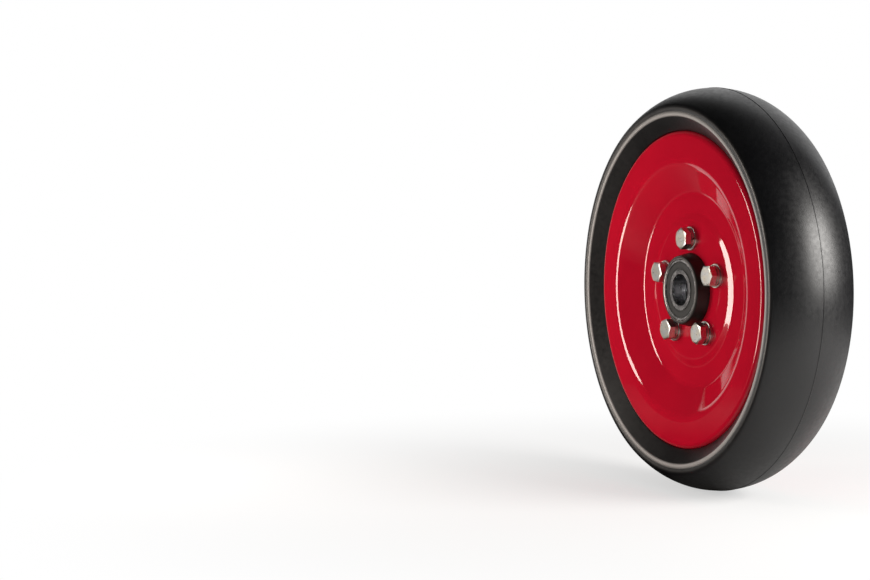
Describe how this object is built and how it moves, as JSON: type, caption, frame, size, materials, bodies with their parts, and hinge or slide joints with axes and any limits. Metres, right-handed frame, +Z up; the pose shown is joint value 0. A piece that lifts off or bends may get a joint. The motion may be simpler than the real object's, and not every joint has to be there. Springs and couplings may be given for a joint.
{
  "type": "implement depth wheel",
  "caption": "Smooth rubber-tyred depth wheel on two bolted pressed-steel discs, with a cast hub turning on two sealed ball bearings.",
  "frame": {"origin": "middle of the axle bore, in the mid-plane of the wheel", "axes": "+Y along the axle and out of the rear face, +Z up through one of the five bolts, +X to the right seen from the front; the front face looks along -Y"},
  "size_m": [0.4008, 0.09, 0.4008],
  "materials": {
    "tyre_rubber": "smooth moulded black rubber, satin",
    "red_paint": "glossy red enamel on pressed steel",
    "cast_hub": "dark painted casting, machined ends",
    "plain_steel": "plain drawn tube",
    "bearing_steel": "ground bearing steel",
    "ball_steel": "polished bearing steel",
    "cage_nylon": "moulded nylon",
    "seal_rubber": "moulded nitrile rubber on a steel ring",
    "zinc_plate": "bright zinc-plated steel"
  },
  "bodies": {
    "axle_side": {"front_bearing_inner_ring": "bearing_steel", "rear_bearing_inner_ring": "bearing_steel", "bearing_spacer": "plain_steel"},
    "wheel": {"tyre": "tyre_rubber", "front_disc": "red_paint", "rear_disc": "red_paint", "hub": "cast_hub", "wheel_bolts": "zinc_plate", "wheel_nuts": "zinc_plate", "front_washers": "zinc_plate", "front_spring_washers": "zinc_plate", "front_bearing_outer_ring": "bearing_steel", "front_bearing_outer_seal": "seal_rubber", "front_bearing_inner_seal": "seal_rubber", "rear_washers": "zinc_plate", "rear_spring_washers": "zinc_plate", "rear_bearing_outer_ring": "bearing_steel", "rear_bearing_outer_seal": "seal_rubber", "rear_bearing_inner_seal": "seal_rubber"},
    "front_ball_set": {"front_bearing_balls": "ball_steel", "front_bearing_cage": "cage_nylon"},
    "rear_ball_set": {"rear_bearing_balls": "ball_steel", "rear_bearing_cage": "cage_nylon"}
  },
  "joints": [
    {"name": "wheel_spin", "type": "hinge", "parent": "axle_side", "child": "wheel", "pos_m": [0, 0, 0], "axis": [0, 1, 0], "continuous": true},
    {"name": "front_ball_set_spin", "type": "hinge", "parent": "axle_side", "child": "front_ball_set", "pos_m": [0, -0.0235, 0], "axis": [0, 1, 0], "continuous": true},
    {"name": "rear_ball_set_spin", "type": "hinge", "parent": "axle_side", "child": "rear_ball_set", "pos_m": [0, 0.0235, 0], "axis": [0, 1, 0], "continuous": true}
  ],
  "couplings": [
    {"joint": "front_ball_set_spin", "follows": "wheel_spin", "ratio": 0.60353},
    {"joint": "rear_ball_set_spin", "follows": "wheel_spin", "ratio": 0.60353}
  ]
}
